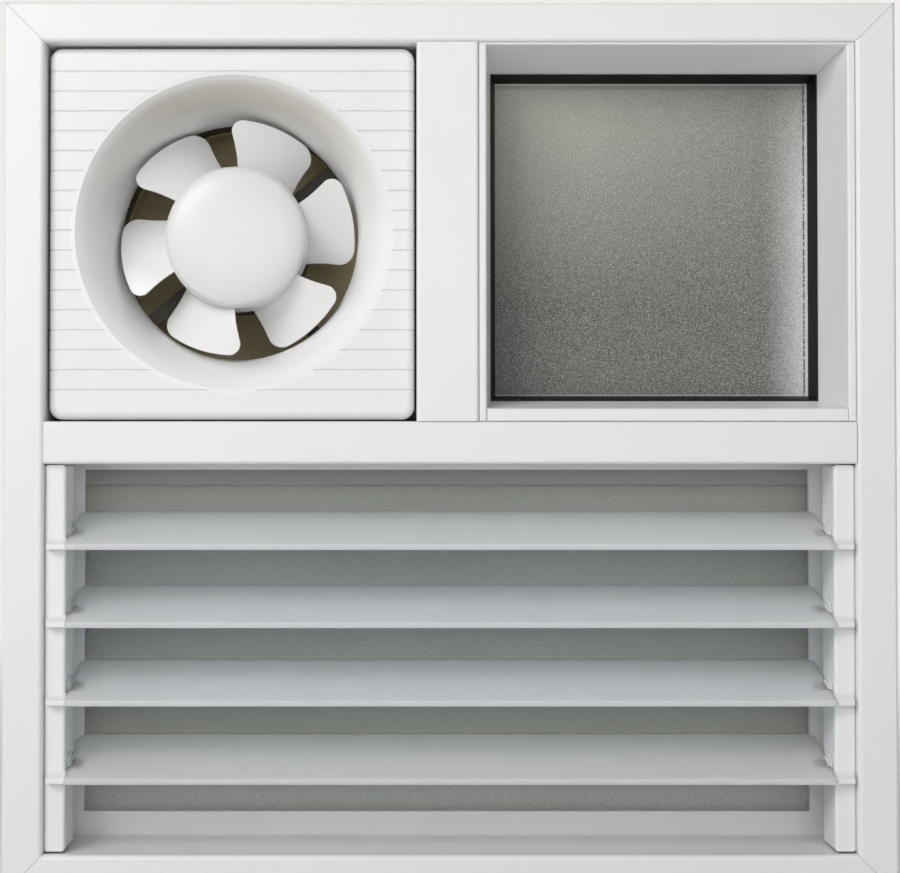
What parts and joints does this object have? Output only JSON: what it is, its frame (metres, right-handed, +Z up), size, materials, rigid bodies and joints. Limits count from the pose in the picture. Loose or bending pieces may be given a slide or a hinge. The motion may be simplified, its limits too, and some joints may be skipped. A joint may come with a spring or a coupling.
{
  "type": "ventilating window with exhaust fan",
  "caption": "White framed window unit with a built-in exhaust fan in a ribbed bell-mouth fascia, a fixed obscure pane and a glass louvre.",
  "frame": {"origin": "centre of the frame's bottom face", "axes": "+Z up, +X to the right as seen from the room, +Y from the room to the outside"},
  "size_m": [0.61, 0.1554, 0.61],
  "materials": {
    "frame_white": "satin white uPVC",
    "bead_white": "satin white uPVC",
    "gasket_black": "black EPDM",
    "obscure_glass": "sandblasted, obscure",
    "block_plastic": "moulded",
    "fascia_white": "moulded ABS",
    "panel_white": "sheet and moulded plastic",
    "duct_white": "moulded, dusty inside",
    "flap_olive": "dusty, in shade",
    "screw_steel": "zinc plated",
    "motor_black": "black",
    "core_steel": "laminated",
    "copper": "enamelled winding",
    "bronze": "sintered",
    "impeller_white": "moulded",
    "channel_white": "extruded and moulded",
    "frosted_glass": "frosted",
    "clip_plastic": "translucent",
    "screen_frame_grey": "painted",
    "mesh_grey": "woven glass fibre mesh"
  },
  "bodies": {
    "window": {"frame_head": "frame_white", "frame_sill": "frame_white", "frame_jamb_left": "frame_white", "frame_jamb_right": "frame_white", "transom": "frame_white", "mullion": "frame_white", "glazing_bead_top": "bead_white", "glazing_bead_bottom": "bead_white", "glazing_bead_left": "bead_white", "glazing_bead_right": "bead_white", "glazing_gasket": "gasket_black", "obscure_pane": "obscure_glass", "pane_rear_seal": "gasket_black", "setting_blocks": "block_plastic", "fan_panel": "panel_white", "panel_seal": "gasket_black", "panel_screws": "screw_steel", "fan_fascia": "fascia_white", "fascia_screws": "screw_steel", "duct_housing": "duct_white", "duct_screws": "screw_steel", "flap_pin": "screw_steel", "motor_bracket": "motor_black", "bracket_screws": "screw_steel", "motor_front_shell": "motor_black", "motor_rear_shell": "motor_black", "motor_screws": "screw_steel", "stator_core": "core_steel", "stator_winding": "copper", "front_bearing": "bronze", "rear_bearing": "bronze", "terminal_box": "panel_white", "terminal_cover": "panel_white", "louvre_channel_left": "channel_white", "louvre_channel_right": "channel_white", "channel_screws": "screw_steel", "screen_frame": "screen_frame_grey", "screen_mesh": "mesh_grey", "screen_spline": "gasket_black", "screen_screws": "screw_steel"},
    "impeller": {"impeller": "impeller_white", "impeller_nut": "screw_steel", "spinner_cap": "impeller_white", "motor_shaft": "screw_steel", "rotor": "core_steel"},
    "flap": {"backdraught_flap": "flap_olive"},
    "link": {"link_bar": "screw_steel"},
    "blade_1": {"louvre_blade_1": "frosted_glass", "blade_clip_left_1": "clip_plastic", "blade_clip_right_1": "clip_plastic"},
    "blade_2": {"louvre_blade_2": "frosted_glass", "blade_clip_left_2": "clip_plastic", "blade_clip_right_2": "clip_plastic"},
    "blade_3": {"louvre_blade_3": "frosted_glass", "blade_clip_left_3": "clip_plastic", "blade_clip_right_3": "clip_plastic"},
    "blade_4": {"louvre_blade_4": "frosted_glass", "blade_clip_left_4": "clip_plastic", "blade_clip_right_4": "clip_plastic"}
  },
  "joints": [
    {"name": "impeller_spin", "type": "hinge", "parent": "window", "child": "impeller", "pos_m": [-0.14947, 0.005, 0.4535], "axis": [0, -1, 0], "continuous": true},
    {"name": "flap_swing", "type": "hinge", "parent": "window", "child": "flap", "pos_m": [-0.14947, 0.093, 0.5515], "axis": [1, 0, 0], "range_deg": [0, 75]},
    {"name": "blade_1_tilt", "type": "hinge", "parent": "window", "child": "blade_1", "pos_m": [0, -0.0285, 0.2448], "axis": [1, 0, 0], "range_deg": [-16.5, 65.5]},
    {"name": "blade_2_tilt", "type": "hinge", "parent": "window", "child": "blade_2", "pos_m": [0, -0.0285, 0.1918], "axis": [1, 0, 0], "range_deg": [-16.5, 65.5]},
    {"name": "blade_3_tilt", "type": "hinge", "parent": "window", "child": "blade_3", "pos_m": [0, -0.0285, 0.1388], "axis": [1, 0, 0], "range_deg": [-16.5, 65.5]},
    {"name": "blade_4_tilt", "type": "hinge", "parent": "window", "child": "blade_4", "pos_m": [0, -0.0285, 0.0858], "axis": [1, 0, 0], "range_deg": [-16.5, 65.5]},
    {"name": "link_swing", "type": "hinge", "parent": "blade_1", "child": "link", "pos_m": [-0.2683, -0.02383, 0.24252], "axis": [1, 0, 0], "range_deg": [-65.5, 16.5]}
  ],
  "couplings": [
    {"joint": "blade_2_tilt", "follows": "blade_1_tilt", "ratio": 1},
    {"joint": "blade_3_tilt", "follows": "blade_1_tilt", "ratio": 1},
    {"joint": "blade_4_tilt", "follows": "blade_1_tilt", "ratio": 1},
    {"joint": "link_swing", "follows": "blade_1_tilt", "ratio": -1}
  ]
}
